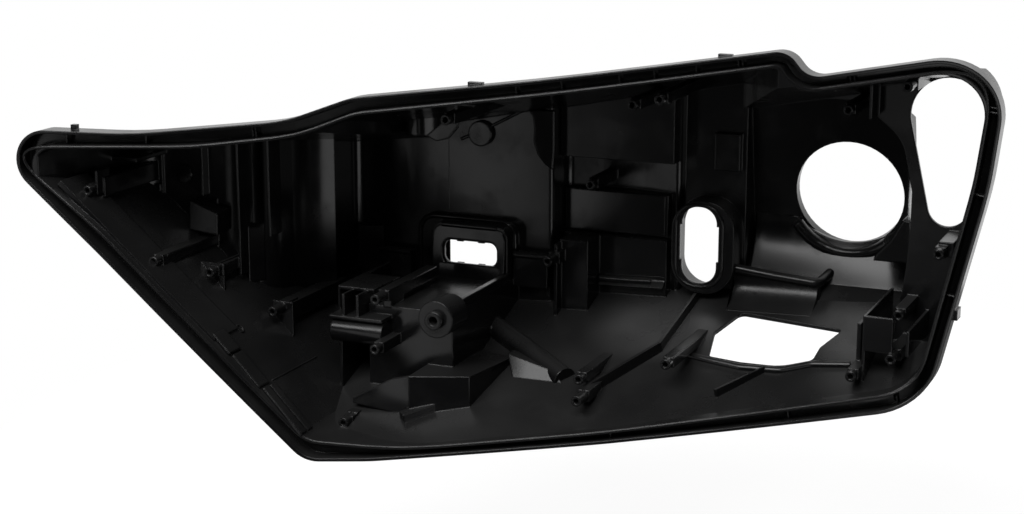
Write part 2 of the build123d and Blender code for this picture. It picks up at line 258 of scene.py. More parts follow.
def wear_group():
    """Masks for scuffed patches and for thin flow streaks, both from 0 to 1."""
    group = bpy.data.node_groups.new("Scuffs and Streaks", "ShaderNodeTree")
    add_sockets(group, "INPUT", [
        ("Position", "NodeSocketVector", None),
        ("Scuff Scale", "NodeSocketFloat", 30.0),
        ("Streak Scale", "NodeSocketFloat", 60.0),
    ])
    add_sockets(group, "OUTPUT", [
        ("Scuffs", "NodeSocketFloat", None),
        ("Streaks", "NodeSocketFloat", None),
    ])
    start = new_node(group, "NodeGroupInput", -900, 0)
    end = new_node(group, "NodeGroupOutput", 500, 0)
    patches = new_node(group, "ShaderNodeTexNoise", -600, 200)
    patches.inputs["Detail"].default_value = 6.0
    patches.inputs["Roughness"].default_value = 0.65
    worn = new_node(group, "ShaderNodeMapRange", -300, 200)
    worn.inputs["From Min"].default_value = 0.5
    worn.inputs["From Max"].default_value = 0.72
    stretch = new_node(group, "ShaderNodeMapping", -750, -200)
    stretch.inputs["Scale"].default_value = (1.0, 0.12, 1.0)
    lines = new_node(group, "ShaderNodeTexNoise", -500, -200)
    lines.inputs["Detail"].default_value = 4.0
    thin = new_node(group, "ShaderNodeMapRange", -200, -200)
    thin.inputs["From Min"].default_value = 0.52
    thin.inputs["From Max"].default_value = 0.66
    join(
        group,
        (start.outputs["Position"], patches.inputs["Vector"]),
        (start.outputs["Scuff Scale"], patches.inputs["Scale"]),
        (patches.outputs["Fac"], worn.inputs["Value"]),
        (worn.outputs["Result"], end.inputs["Scuffs"]),
        (start.outputs["Position"], stretch.inputs["Vector"]),
        (stretch.outputs["Vector"], lines.inputs["Vector"]),
        (start.outputs["Streak Scale"], lines.inputs["Scale"]),
        (lines.outputs["Fac"], thin.inputs["Value"]),
        (thin.outputs["Result"], end.inputs["Streaks"]),
    )
    return group


# ---------------------------------------------------------------- materials
def black_plastic(name="Black moulded plastic"):
    """Semi-gloss black plastic with rounded edges, fine grain, sink waves, light scuffs, a painted sheen
    on faces that look up and a painted highlight on the floor.
    """
    made = bpy.data.materials.get(name)
    if made:
        return made
    plastic = bpy.context.scene.plastic_settings
    made = bpy.data.materials.new(name)
    made.use_nodes = True
    tree = made.node_tree
    tree.nodes.clear()
    output = new_node(tree, "ShaderNodeOutputMaterial", 900, 0)
    shader = new_node(tree, "ShaderNodeBsdfPrincipled", 600, 0)
    shader.inputs["IOR"].default_value = 1.46
    place = new_node(tree, "ShaderNodeTexCoord", -900, 0)
    grain = new_node(tree, "ShaderNodeGroup", -600, -200)
    grain.node_tree = shared_group("Mould Grain", mould_grain_group)
    grain.inputs["Grain Size"].default_value = plastic.grain_size
    wear = new_node(tree, "ShaderNodeGroup", -600, 200)
    wear.node_tree = shared_group("Scuffs and Streaks", wear_group)

    # colour: scuffs and streaks are slightly greyer, and faces that look up are painted greyer as a
    # painted sheen of the light from above
    paint = new_node(tree, "ShaderNodeMix", 250, 250, data_type="RGBA")
    paint.inputs["A"].default_value = (*plastic.colour, 1)
    paint.inputs["B"].default_value = (plastic.painted_sheen, plastic.painted_sheen, plastic.painted_sheen, 1)
    split = new_node(tree, "ShaderNodeSeparateXYZ", -600, 500)
    upward = new_node(tree, "ShaderNodeMapRange", -400, 500)
    upward.inputs["From Min"].default_value = 0.25
    upward.inputs["From Max"].default_value = 0.9
    # painted sheen on faces that look up, varied by the sink waves
    painted_sheen_mask = maths(tree, "MULTIPLY_ADD", -200, 600, grain.outputs["Waves"], 1.2, 0.1)
    painted_sheen_mask = maths(tree, "MULTIPLY", 0, 550, upward.outputs["Result"], painted_sheen_mask)
    # painted highlight: a patch of the floor that looks up is painted lighter round its middle, in place
    # of the reflection of the light from above
    away = new_node(tree, "ShaderNodeVectorMath", -600, 700, operation="DISTANCE")
    away.inputs[1].default_value = HIGHLIGHT_PATCH
    patch = new_node(tree, "ShaderNodeMapRange", -400, 750, interpolation_type="SMOOTHSTEP")
    patch.inputs["From Min"].default_value = HIGHLIGHT_REACH
    patch.inputs["From Max"].default_value = 10 * MM
    patch.inputs["To Max"].default_value = 0.14
    painted_highlight = maths(tree, "MULTIPLY", -100, 750, patch.outputs["Result"], upward.outputs["Result"])
    painted_highlight = maths(tree, "MULTIPLY", 50, 750, painted_highlight, grain.outputs["Waves"])
    marks_and_sheen = maths(tree, "MULTIPLY_ADD", -200, 400, wear.outputs["Scuffs"], 0.12, painted_sheen_mask)
    marks_and_sheen = maths(tree, "MULTIPLY_ADD", 0, 400, wear.outputs["Streaks"], 0.06, marks_and_sheen)
    marks_and_sheen = maths(tree, "MINIMUM", 120, 400, marks_and_sheen, 1.0)

    # roughness: rougher in scuffs and where the sheen is painted on faces that look up, and varied by
    # the sink waves
    rough = maths(tree, "MULTIPLY_ADD", -200, 100, wear.outputs["Scuffs"], 0.12, plastic.roughness)
    rough = maths(tree, "MULTIPLY_ADD", 0, 100, grain.outputs["Waves"], 0.06, rough)
    rough = maths(tree, "MULTIPLY_ADD", 120, 100, painted_sheen_mask, 0.15, rough)

    # relief: rounded edges, then the waves, then the grain
    edges = new_node(tree, "ShaderNodeBevel", -300, -500, samples=6)
    edges.inputs["Radius"].default_value = plastic.edge_radius
    waves = new_node(tree, "ShaderNodeBump", 0, -350)
    waves.inputs["Strength"].default_value = 0.5
    waves.inputs["Distance"].default_value = 0.9 * MM
    fine = new_node(tree, "ShaderNodeBump", 300, -300)
    fine.inputs["Strength"].default_value = 0.3
    fine.inputs["Distance"].default_value = 0.03 * MM
    highlighted = new_node(tree, "ShaderNodeMix", 420, 250, data_type="RGBA")
    highlighted.inputs["B"].default_value = (1, 1, 1, 1)
    join(
        tree,
        (place.outputs["Object"], away.inputs[0]),
        (away.outputs["Value"], patch.inputs["Value"]),
        (painted_highlight, highlighted.inputs["Factor"]),
        (paint.outputs["Result"], highlighted.inputs["A"]),
        (place.outputs["Object"], grain.inputs["Position"]),
        (place.outputs["Object"], wear.inputs["Position"]),
        (place.outputs["Normal"], split.inputs["Vector"]),
        (split.outputs["Z"], upward.inputs["Value"]),
        (marks_and_sheen, paint.inputs["Factor"]),
        (highlighted.outputs["Result"], shader.inputs["Base Color"]),
        (rough, shader.inputs["Roughness"]),
        (edges.outputs["Normal"], waves.inputs["Normal"]),
        (grain.outputs["Waves"], waves.inputs["Height"]),
        (waves.outputs["Normal"], fine.inputs["Normal"]),
        (grain.outputs["Grain"], fine.inputs["Height"]),
        (fine.outputs["Normal"], shader.inputs["Normal"]),
        (shader.outputs["BSDF"], output.inputs["Surface"]),
    )
    return made


# ---------------------------------------------------------------- repeated bosses
def boss_tree():
    """Puts a tube with a rounded mouth on every point of the mesh it is given, along -Y."""
    tree = bpy.data.node_groups.new("Small Bosses", "GeometryNodeTree")
    add_sockets(tree, "INPUT", [
        ("Geometry", "NodeSocketGeometry", None),
        ("Radius", "NodeSocketFloat", 0.0036),
        ("Hole Radius", "NodeSocketFloat", 0.0018),
        ("Height", "NodeSocketFloat", 0.007),
        ("Material", "NodeSocketMaterial", None),
    ])
    add_sockets(tree, "OUTPUT", [("Geometry", "NodeSocketGeometry", None)])
    start = new_node(tree, "NodeGroupInput", -900, 0)
    end = new_node(tree, "NodeGroupOutput", 1100, 0)
    both = maths(tree, "ADD", -650, 200, start.outputs["Radius"], start.outputs["Hole Radius"])
    middle = maths(tree, "MULTIPLY", -480, 200, both, 0.5)
    wall = maths(tree, "SUBTRACT", -650, 0, start.outputs["Radius"], start.outputs["Hole Radius"])
    ring = new_node(tree, "GeometryNodeCurvePrimitiveCircle", -250, 250)
    ring.inputs["Resolution"].default_value = 32
    section = new_node(tree, "GeometryNodeCurvePrimitiveQuadrilateral", -450, -50)
    rounded = new_node(tree, "GeometryNodeFilletCurve", -250, -50)
    rounded.mode = "POLY"
    rounded.inputs["Count"].default_value = 3
    rounded.inputs["Radius"].default_value = 0.3 * MM
    sweep = new_node(tree, "GeometryNodeCurveToMesh", 0, 150)
    turn = new_node(tree, "GeometryNodeTransform", 200, 150)
    turn.inputs["Rotation"].default_value = (math.radians(90), 0, 0)
    each = new_node(tree, "GeometryNodeInstanceOnPoints", 450, 0)
    real = new_node(tree, "GeometryNodeRealizeInstances", 650, 0)
    paint = new_node(tree, "GeometryNodeSetMaterial", 850, 0)
    join(
        tree,
        (middle, ring.inputs["Radius"]),
        (wall, section.inputs["Width"]),
        (start.outputs["Height"], section.inputs["Height"]),
        (section.outputs["Curve"], rounded.inputs["Curve"]),
        (ring.outputs["Curve"], sweep.inputs["Curve"]),
        (rounded.outputs["Curve"], sweep.inputs["Profile Curve"]),
        (sweep.outputs["Mesh"], turn.inputs["Geometry"]),
        (start.outputs["Geometry"], each.inputs["Points"]),
        (turn.outputs["Geometry"], each.inputs["Instance"]),
        (each.outputs["Instances"], real.inputs["Geometry"]),
        (real.outputs["Geometry"], paint.inputs["Geometry"]),
        (start.outputs["Material"], paint.inputs["Material"]),
        (paint.outputs["Geometry"], end.inputs["Geometry"]),
    )
    return tree


def rib_tree():
    """Puts a rounded plate on every point, turned about Y by the point's own turn."""
    tree = bpy.data.node_groups.new("Channel Ribs", "GeometryNodeTree")
    add_sockets(tree, "INPUT", [
        ("Geometry", "NodeSocketGeometry", None),
        ("Thickness", "NodeSocketFloat", 0.0012),
        ("Length", "NodeSocketFloat", 0.008),
        ("Depth", "NodeSocketFloat", 0.006),
        ("Material", "NodeSocketMaterial", None),
    ])
    add_sockets(tree, "OUTPUT", [("Geometry", "NodeSocketGeometry", None)])
    start = new_node(tree, "NodeGroupInput", -900, 0)
    end = new_node(tree, "NodeGroupOutput", 1100, 0)
    section = new_node(tree, "GeometryNodeCurvePrimitiveQuadrilateral", -500, 100)
    rounded = new_node(tree, "GeometryNodeFilletCurve", -300, 100)
    rounded.mode = "POLY"
    rounded.inputs["Count"].default_value = 3
    rounded.inputs["Radius"].default_value = 0.35 * MM
    height = new_node(tree, "ShaderNodeCombineXYZ", -500, -100)
    line = new_node(tree, "GeometryNodeCurvePrimitiveLine", -300, -100)
    sweep = new_node(tree, "GeometryNodeCurveToMesh", -50, 50)
    sweep.inputs["Fill Caps"].default_value = True
    half = maths(tree, "MULTIPLY", -700, -250, start.outputs["Length"], -0.5)
    low = new_node(tree, "ShaderNodeCombineXYZ", -500, -250)
    moved = new_node(tree, "GeometryNodeTransform", 150, 50)
    turn = new_node(tree, "GeometryNodeInputNamedAttribute", 0, -200, data_type="FLOAT")
    turn.inputs["Name"].default_value = "turn"
    angles = new_node(tree, "ShaderNodeCombineXYZ", 200, -200)
    each = new_node(tree, "GeometryNodeInstanceOnPoints", 450, 0)
    real = new_node(tree, "GeometryNodeRealizeInstances", 650, 0)
    paint = new_node(tree, "GeometryNodeSetMaterial", 850, 0)
    join(
        tree,
        (start.outputs["Thickness"], section.inputs["Width"]),
        (start.outputs["Depth"], section.inputs["Height"]),
        (section.outputs["Curve"], rounded.inputs["Curve"]),
        (start.outputs["Length"], height.inputs["Z"]),
        (height.outputs["Vector"], line.inputs["End"]),
        (line.outputs["Curve"], sweep.inputs["Curve"]),
        (rounded.outputs["Curve"], sweep.inputs["Profile Curve"]),
        (half, low.inputs["Z"]),
        (low.outputs["Vector"], moved.inputs["Translation"]),
        (sweep.outputs["Mesh"], moved.inputs["Geometry"]),
        (turn.outputs["Attribute"], angles.inputs["Y"]),
        (start.outputs["Geometry"], each.inputs["Points"]),
        (moved.outputs["Geometry"], each.inputs["Instance"]),
        (angles.outputs["Vector"], each.inputs["Rotation"]),
        (each.outputs["Instances"], real.inputs["Geometry"]),
        (real.outputs["Geometry"], paint.inputs["Geometry"]),
        (start.outputs["Material"], paint.inputs["Material"]),
        (paint.outputs["Geometry"], end.inputs["Geometry"]),
    )
    return tree


def bead_tree():
    """Sweeps a round bead along the edges of the mesh it is given, with rounded corners."""
    tree = bpy.data.node_groups.new("Round Beads", "GeometryNodeTree")
    add_sockets(tree, "INPUT", [
        ("Geometry", "NodeSocketGeometry", None),
        ("Radius", "NodeSocketFloat", 0.0015),
        ("Corner Radius", "NodeSocketFloat", 0.006),
        ("Material", "NodeSocketMaterial", None),
    ])
    add_sockets(tree, "OUTPUT", [("Geometry", "NodeSocketGeometry", None)])
    start = new_node(tree, "NodeGroupInput", -700, 0)
    end = new_node(tree, "NodeGroupOutput", 900, 0)
    path = new_node(tree, "GeometryNodeMeshToCurve", -450, 100)
    rounded = new_node(tree, "GeometryNodeFilletCurve", -250, 100)
    rounded.mode = "POLY"
    rounded.inputs["Count"].default_value = 8
    rounded.inputs["Limit Radius"].default_value = True
    ring = new_node(tree, "GeometryNodeCurvePrimitiveCircle", -250, -150)
    ring.inputs["Resolution"].default_value = 14
    sweep = new_node(tree, "GeometryNodeCurveToMesh", 0, 0)
    sweep.inputs["Fill Caps"].default_value = True
    real = new_node(tree, "GeometryNodeRealizeInstances", 250, 0)
    paint = new_node(tree, "GeometryNodeSetMaterial", 500, 0)
    join(
        tree,
        (start.outputs["Geometry"], path.inputs["Mesh"]),
        (path.outputs["Curve"], rounded.inputs["Curve"]),
        (start.outputs["Corner Radius"], rounded.inputs["Radius"]),
        (start.outputs["Radius"], ring.inputs["Radius"]),
        (rounded.outputs["Curve"], sweep.inputs["Curve"]),
        (ring.outputs["Curve"], sweep.inputs["Profile Curve"]),
        (sweep.outputs["Mesh"], real.inputs["Geometry"]),
        (real.outputs["Geometry"], paint.inputs["Geometry"]),
        (start.outputs["Material"], paint.inputs["Material"]),
        (paint.outputs["Geometry"], end.inputs["Geometry"]),
    )
    return tree


def grow(name, points, tree, values, edges=(), turns=None):
    """Runs a geometry tree on points and edges in millimetres; keeps the result as a mesh."""
    seeds = bpy.data.meshes.new(name)
    seeds.from_pydata([Vector(point) * MM for point in points], edges, [])
    if turns:
        seeds.attributes.new("turn", "FLOAT", "POINT").data.foreach_set("value", turns)
    obj = bpy.data.objects.new(name, seeds)
    bpy.context.scene.collection.objects.link(obj)
    modifier = obj.modifiers.new(name, "NODES")
    modifier.node_group = tree
    for item in tree.interface.items_tree:
        if item.in_out == "INPUT" and item.name in values:
            modifier[item.identifier] = values[item.name]
    bpy.context.view_layer.update()
    evaluated = obj.evaluated_get(bpy.context.evaluated_depsgraph_get())
    plain = bpy.data.meshes.new_from_object(evaluated)
    obj.modifiers.clear()
    obj.data = plain
    if not plain.polygons:
        raise RuntimeError(name + " came out empty")
    close_up(plain)
    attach(obj, "root")
    return obj


def close_up(mesh):
    """Turns the faces outward; flat faces stay flat, and shallow edges between them are smooth."""
    shape = bmesh.new()
    shape.from_mesh(mesh)
    bmesh.ops.remove_doubles(shape, verts=shape.verts, dist=1e-6)
    bmesh.ops.recalc_face_normals(shape, faces=shape.faces)
    for face in shape.faces:
        face.smooth = True
    for edge in shape.edges:
        edge.smooth = edge.calc_face_angle(0) < math.radians(SMOOTH_BELOW)
    shape.to_mesh(mesh)
    shape.free()


def place_beads(name, paths, radius, corner_radius):
    """Beads along paths in millimetres; a path that ends where it starts is closed."""
    points, edges = [], []
    for path in paths:
        first = len(points)
        closed = path[0] == path[-1]
        points += path[:-1] if closed else path
        count = len(points) - first
        edges += [(first + i, first + i + 1) for i in range(count - 1)]
        if closed:
            edges.append((first + count - 1, first))
    return grow(name, points, shared_group("Round Beads", bead_tree), {
        "Radius": radius * MM,
        "Corner Radius": corner_radius * MM,
        "Material": black_plastic(),
    }, edges)


# ---------------------------------------------------------------- moulded forms
def front_y(x):
    """Y of the rim's swept front edge at x, in millimetres."""
    slant = math.sqrt(1 + 0.30**2)
    return 2600 / slant - 240 - math.sqrt(2600**2 - (x + 0.30 * 2600 / slant) ** 2)


def rounded_outline(corners, spacing=14.0):
    """Points in XZ along a closed outline with rounded corners, given as (x, z, radius)."""
    found = []
    count = len(corners)
    for i, (x, z, radius) in enumerate(corners):
        here = Vector((x, z))
        before = Vector(corners[i - 1][:2]) - here
        after = Vector(corners[(i + 1) % count][:2]) - here
        half = before.angle(after) / 2
        reach = radius / math.tan(half)
        a, b = here + before.normalized() * reach, here + after.normalized() * reach
        steps = max(2, int((math.pi - 2 * half) / 0.2))
        for step in range(steps + 1):
            t = step / steps
            found.append((1 - t) ** 2 * a + 2 * t * (1 - t) * here + t * t * b)
    points = []
    for a, b in zip(found, found[1:] + found[:1]):
        pieces = max(1, round((b - a).length / spacing))
        points += [a.lerp(b, k / pieces) for k in range(pieces)]
    return points


def roof_z(x, y):
    """Z of the roof's inner face, in millimetres: the left roof lies lower than the middle one."""
    if x < -131:
        return 62 + 0.109 * (x + 360) - 0.18 * (y + 315.6)
    return 88.5 + 0.204 * (x + 131) - 0.18 * (y + 275.5)


def slant_z(x):
    """Z of the slanting lower wall's inner face, in millimetres."""
    return 7 - 1.0073 * (x + 273.6)


def floor_z(x, y):
    """Z of the floor's upper face, in millimetres."""
    return 0.034 * x + 0.33 * y - 47.9


def disc(x, y, z, radius, steps=28):
    """Corners of a round outline square to Y."""
    turns = [2 * math.pi * step / steps for step in range(steps)]
    return [(x + radius * math.cos(t), y, z + radius * math.sin(t)) for t in turns]


def add_piece(name, shape):
    """Makes a piece of the moulded plastic from a bmesh, and frees the bmesh."""
    mesh = bpy.data.meshes.new(name)
    shape.to_mesh(mesh)
    shape.free()
    mesh.materials.append(black_plastic())
    obj = bpy.data.objects.new(name, mesh)
    bpy.context.scene.collection.objects.link(obj)
    close_up(mesh)
    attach(obj, "root")
    return obj


def mould(name, forms):
    """One closed mesh from prisms. Each is an outline in millimetres and the plane where it ends,
    given as (axis, value): the outline's points are carried to it along that axis."""
    settings = bpy.context.scene.detail_settings
    shape = bmesh.new()
    for corners, (axis, value) in forms:
        near = [shape.verts.new(Vector(corner) * MM) for corner in corners]
        far = []
        for corner in corners:
            moved = Vector(corner)
            moved["xyz".index(axis)] = value
            far.append(shape.verts.new(moved * MM))
        shape.faces.new(near)
        shape.faces.new(reversed(far))
        for i in range(len(near)):
            k = (i + 1) % len(near)
            shape.faces.new((near[k], near[i], far[i], far[k]))
    bmesh.ops.recalc_face_normals(shape, faces=shape.faces)
    least = math.radians(BEVEL_ABOVE)
    sharp = [edge for edge in shape.edges if edge.calc_face_angle(0) > least]
    bmesh.ops.bevel(
        shape, geom=sharp, offset=settings.rounding, segments=2, affect="EDGES", clamp_overlap=True,
    )
    return add_piece(name, shape)


def loft(name, sections):
    """One closed mesh through sections, rings of the same number of points in millimetres. It
    runs round when the last section is the first one again."""
    shape = bmesh.new()
    rings = [[shape.verts.new(Vector(point) * MM) for point in ring] for ring in sections]
    closed = sections[0] == sections[-1]
    for a, b in zip(rings, rings[1:]):
        for i in range(len(a)):
            k = (i + 1) % len(a)
            shape.faces.new((a[i], a[k], b[k], b[i]))
    if not closed:
        shape.faces.new(rings[0])
        shape.faces.new(reversed(rings[-1]))
    bmesh.ops.triangulate(shape, faces=[face for face in shape.faces if len(face.verts) > 4])
    return add_piece(name, shape)


def upright(name, plan):
    """A form with upright sides, from the slanting wall or the floor up to the roof."""
    low = [(x, y, max(slant_z(x), floor_z(x, y)) - 1) for x, y in plan]
    high = [(x, y, roof_z(x, y) + 1) for x, y in plan]
    return loft(name, [low, high])


def blend_ring(x, wall, corner, foot, start=0.0, steps=10):
    """Section at x of a hollow blend: from wall to foot, both (y, z), tangent at the corner."""
    ring = []
    for step in range(steps + 1):
        t = start + (1 - start) * step / steps
        y, z = (
            (1 - t) ** 2 * wall[k] + 2 * t * (1 - t) * corner[k] + t * t * foot[k] for k in (0, 1)
        )
        ring.append((x, y, z))
    high = ring[0][2]
    return ring + [(x, foot[0] + 0.8, foot[1] - 0.8), (x, corner[0] + 1, corner[1] - 0.5),
                   (x, corner[0] + 1, high)]


# ---------------------------------------------------------------- operators
class HOUSING_OT_finish_shell(bpy.types.Operator):
    """Gives the moulded shell its black plastic"""

    bl_idname = "housing.finish_shell"
    bl_label = "Finish Shell"

    def execute(self, context):
        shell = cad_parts["lamp_housing"]
        shell.data.materials.clear()
        shell.data.materials.append(black_plastic())
        return {"FINISHED"}


class HOUSING_OT_add_small_bosses(bpy.types.Operator):
    """Adds the small screw bosses on the ends of the plain posts, and the pivot's ring"""

    bl_idname = "housing.add_small_bosses"
    bl_label = "Add Small Bosses"

    def execute(self, context):
        sizes = context.scene.boss_settings
        reach = sizes.height / MM / 2
        tree = boss_tree()
        grow("small_bosses", [(x, y - reach, z) for x, y, z in POST_ENDS], tree, {
            "Radius": sizes.radius,
            "Hole Radius": sizes.hole_radius,
            "Height": sizes.height,
            "Material": black_plastic(),
        })
        x, y, z = MODULE_RING
        grow("pivot_ring", [(x, y - 2, z)], tree, {
            "Radius": 6.5 * MM,
            "Hole Radius": 3.0 * MM,
            "Height": 4.4 * MM,
            "Material": black_plastic(),
        })
        return {"FINISHED"}


def run_places(run, places, along):
    """Points of a run of the channel where one of their coordinates has the given values."""
    found = []
    for value in places:
        for a, b in zip(run, run[1:]):
            if a[along] <= value <= b[along]:
                share = (value - a[along]) / (b[along] - a[along])
                x, z = (a[k] + share * (b[k] - a[k]) for k in (0, 1))
                found.append(((x, z), -math.atan2(b[1] - a[1], b[0] - a[0])))
    return found


class HOUSING_OT_add_channel_ribs(bpy.types.Operator):
    """Adds the thin cross ribs in the sealing channel"""

    bl_idname = "housing.add_channel_ribs"
    bl_label = "Add Channel Ribs"

    def execute(self, context):
        places = run_places(CHANNEL_TOP, TOP_RIBS, 0) + run_places(CHANNEL_STEP, STEP_RIBS, 0)
        places += run_places(CHANNEL_FLOOR, FLOOR_RIBS, 0)
        places += run_places(CHANNEL_RIGHT, RIGHT_RIBS, 1)
        grow("channel_ribs", [(x, front_y(x) + CHANNEL_MIDDLE, z) for (x, z), _ in places], rib_tree(), {
            "Thickness": context.scene.detail_settings.rib_thickness,
            "Length": 7.6 * MM,
            "Depth": 6.4 * MM,
            "Material": black_plastic(),
        }, turns=[turn for _, turn in places])
        return {"FINISHED"}


class HOUSING_OT_round_inner_land(bpy.types.Operator):
    """Adds the rounded front of the inner land, all round the mouth"""

    bl_idname = "housing.round_inner_land"
    bl_label = "Round Inner Land"

    def execute(self, context):
        path = [(p.x, front_y(p.x) + 0.8, p.y) for p in rounded_outline(INNER_LAND)]
        place_beads("inner_land", [path + path[:1]], 1.1, 0.5)
        return {"FINISHED"}


def back_forms():
    """The cheek of the cut-out, the pad under the roof, a bracket and two round bumps."""
    cheek = [
        (-56, -81, 69), (-53, -80.2, 64), (-52, -79.9, 56), (-52.5, -80, 46),
        (-49.5, -79.2, 36), (-44, -77.8, 29), (-38.5, -76.3, 25), (-37.5, -76, 40),
        (-37.5, -76, 69),
    ]
    pad = [(-130.5, -124), (-129.5, -135), (-124, -142.5), (-116, -145.5), (-108, -143),
           (-101, -135), (-99, -124)]
    bracket = [(-78, 69), (-70, 65.5), (-61, 68), (-54, 76), (-54, 84), (-62, 82)]
    mould("back_forms", [
        (cheek, ("y", -73.5)),
        ([(x, y, roof_z(x, y) + 1) for x, y in pad], ("z", 56)),
        ([(x, -206, z) for x, z in bracket], ("y", -203.5)),
        (disc(-95.5, -79, 48.5, 9.5), ("y", -73.5)),
        (disc(-267, -211.5, 29, 7), ("y", -208.4)),
    ])
    ridge = [(-112, -75.5, 43), (-92, -75.5, 52), (-62.5, -75.5, 67.5)]
    place_beads("back_ridges", [ridge], 1.3, 3)


def bowed_panel():
    """The panel of the curved back wall, bowed in plan."""
    left, back, low, high = -36, -56, -21, 9
    sections = []
    for x in range(-34, 43, 4):
        y = -57.3 - 0.052 * (x - left) + 0.00057 * (x - left) ** 2
        sections.append([(x, y, low), (x, y, high), (x, back, high), (x, back, low)])
    loft("bowed_panel", sections)


class HOUSING_OT_add_back_forms(bpy.types.Operator):
    """Adds the pads and the cut-out's cheek on the back wall under the roof"""

    bl_idname = "housing.add_back_forms"
    bl_label = "Add Back Wall Forms"

    def execute(self, context):
        back_forms()
        bowed_panel()
        return {"FINISHED"}


def side_swell():
    """The side wall at the left, which swells into a round edge in front of the back wall. Each
    part of the swell has its direction in plan at both ends, in degrees, and its length."""
    x, y = SWELL_START
    plan = [(x, y)]
    steps = 6
    for start, end, length in SWELL_PARTS:
        for step in range(steps):
            t = math.radians(start + (end - start) * (step + 0.5) / steps)
            x, y = x + length / steps * math.cos(t), y + length / steps * math.sin(t)
            plan.append((x, y))
    upright("side_swell", plan + [(-192, -124), (-203.6, -112), (-210.2, -165)])


def back_bow():
    """The left part of the back wall, which bows forward towards the side wall."""
    plan = []
    for x in range(-194, -119, 6):
        share = (-120 - x) / 78
        plan.append((x, -75.2 - 1.3 * share**2))
    upright("back_bow", plan + [(-122, -74.5), (-194, -74.5)])


def left_forms():
    """The face of the dark recess, the cheek of the left post and the tilted plate beside it."""
    recess = [(-195, -85, -28), (-177, -76.2, -28), (-177, -76.2, -62), (-195, -85, -62)]
    cheek = [(-220.6, -204, -6), (-214.2, -189.5, -6), (-216.2, -190, -6), (-220.6, -196.5, -6)]
    plate = [(-257.2, -220.6, 13), (-232.8, -223.4, 5.5), (-233.4, -223.4, -10.5),
             (-258, -220.6, -9)]
    mould("left_forms", [(recess, ("y", -74.3)), (cheek, ("z", -48.5)), (plate, ("y", -206.5))])


def wall_strips():
    """Flat strips on the slanting wall, behind the inner land."""
    strips = []
    for x0, x1, thick, y0, y1 in WALL_STRIPS:
        rise = 0.7 * thick
        section = [
            (x0, y0, slant_z(x0) - 1),
            (x1, y0, slant_z(x1) - 1),
            (x1 + rise, y0, slant_z(x1) + rise),
            (x0 + rise, y0, slant_z(x0) + rise),
        ]
        strips.append((section, ("y", y1)))
    mould("wall_strips", strips)


def wall_beads():
    """A small eye and a straight seam on the slanting wall."""
    eye = []
    for step in range(12):
        t = 2 * math.pi * step / 12
        x = -199.6 + 2.1 * math.sin(t)
        eye.append((x, -252.1 + 3 * math.cos(t), slant_z(x) + 0.2))
    x = -169.2
    seam = [(x, -262, slant_z(x)), (x, -200, slant_z(x))]
    place_beads("wall_beads", [eye + eye[:1], seam], 0.8, 0.5)


class HOUSING_OT_add_wall_forms(bpy.types.Operator):
    """Adds the bowed walls at the left, and the strips and ridges on the slanting wall"""

    bl_idname = "housing.add_wall_forms"
    bl_label = "Add Wall Forms"

    def execute(self, context):
        side_swell()
        back_bow()
        left_forms()
        wall_strips()
        wall_beads()
        return {"FINISHED"}


def pocket_blend():
    """The blend below the service port; its upper edge gives way to the port's lip."""
    wall, corner, foot = (-22.0, -5.0), (-20.5, -20.0), (-38.7, -49.4)
    port_x, _, port_z = SERVICE_PORT
    clear = 43.0  # the blend stays out of this radius round the port
    sections = []
    for x in range(100, 223, 3):
        top = wall[1]
        reach = clear**2 - (x - port_x) ** 2
        if reach > 0:
            top = min(top, port_z - math.sqrt(reach))
        start = min(0.48, (wall[1] - top) / 55)
        sections.append(blend_ring(x, wall, corner, foot, start))
    loft("pocket_blend", sections)


def wall_blends():
    """The blends at the foot of the wall by the lower aperture and of the curved back wall."""
    y = -50.6
    loft("aperture_blend", [
        blend_ring(x, (y - 0.2, -45.5), (y, floor_z(x, y)), (-70, floor_z(x, -70)))
        for x in (93, 110, 130, 155)
    ])
    loft("wall_blend", [
        blend_ring(x, (-59, -52 + 0.034 * x), (-59, -57.6 + 0.034 * x), (-65, -59.5 + 0.034 * x))
        for x in (-7, 10, 30, 43)
    ])


class HOUSING_OT_add_blends(bpy.types.Operator):
    """Adds the hollow blends where upright walls run into slopes and floors"""

    bl_idname = "housing.add_blends"
    bl_label = "Add Blends"

    def execute(self, context):
        pocket_blend()
        wall_blends()
        loft("floor_wedge", [
            [(-30, -170, -105.5), (8, -172, -104.5), (0, -167, -97.5), (-38, -160, -91)],
            [(-32, -146, -98), (4, -150, -98.5), (-2, -150, -97.5), (-40, -146, -92)],
        ])
        return {"FINISHED"}


def port_forms():
    """The rounded lip under the service port and the face of the step in its pocket."""
    arc = []
    x, y, z = SERVICE_PORT
    for degrees in range(212, 312, 9):
        t = math.radians(degrees)
        height = LIP_RADIUS * math.sin(t)
        arc.append((x + LIP_RADIUS * math.cos(t), y - 0.16 * height, z + height))
    place_beads("port_lip", [arc], 4.6, 2)
    step = [(197, -21), (223.5, -21), (223.5, 8), (217, 9), (209, -6), (199, -17)]
    mould("port_step_face", [([(x, -66.4 - 0.09 * (x - 197), z) for x, z in step], ("y", -65))])


